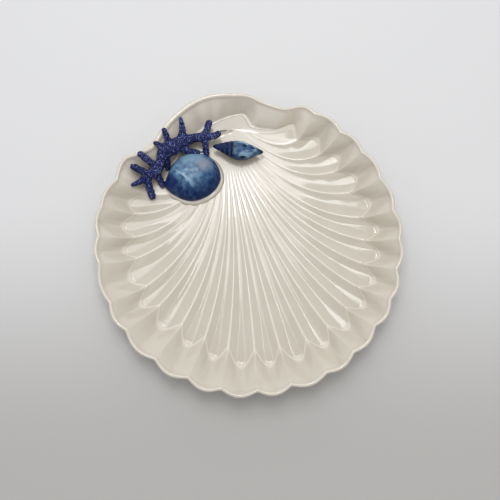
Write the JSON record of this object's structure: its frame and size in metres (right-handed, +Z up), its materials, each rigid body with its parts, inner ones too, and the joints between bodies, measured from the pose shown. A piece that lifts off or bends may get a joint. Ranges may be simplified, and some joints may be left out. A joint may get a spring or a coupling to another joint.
{
  "type": "shell plate",
  "caption": "Scallop-shaped glazed dish with curved flutes, a lobed lip and a smooth hinge, dressed with an applied coral spray, a domed cockle and a small spiral shell.",
  "frame": {"origin": "middle of the footprint, on the table under the foot ring", "axes": "+Z up, +Y towards the hinge, the coral spray on the -X side"},
  "size_m": [0.29, 0.2906, 0.0353],
  "materials": {
    "cream_glaze": "glossy ivory glaze over pressed earthenware",
    "sea_blue_glaze": "glossy blue wash with darker pools",
    "cobalt_glaze": "dark cobalt glaze with lighter speckle"
  },
  "bodies": {
    "root": {"plate_body": "cream_glaze", "foot_ring": "cream_glaze", "cockle_bed": "cream_glaze", "spiral_bed": "cream_glaze", "cockle_shell": "sea_blue_glaze", "spiral_shell": "sea_blue_glaze", "coral_stem": "cobalt_glaze", "twig_top_right": "cobalt_glaze", "twig_far_right": "cobalt_glaze", "leg_right": "cobalt_glaze", "twig_tall": "cobalt_glaze", "twig_middle": "cobalt_glaze", "twig_stub": "cobalt_glaze", "branch_low": "cobalt_glaze", "leg_middle": "cobalt_glaze", "twig_upper_left": "cobalt_glaze", "twig_left": "cobalt_glaze", "twig_pointed": "cobalt_glaze", "twig_flared": "cobalt_glaze", "leg_left": "cobalt_glaze"}
  },
  "joints": []
}
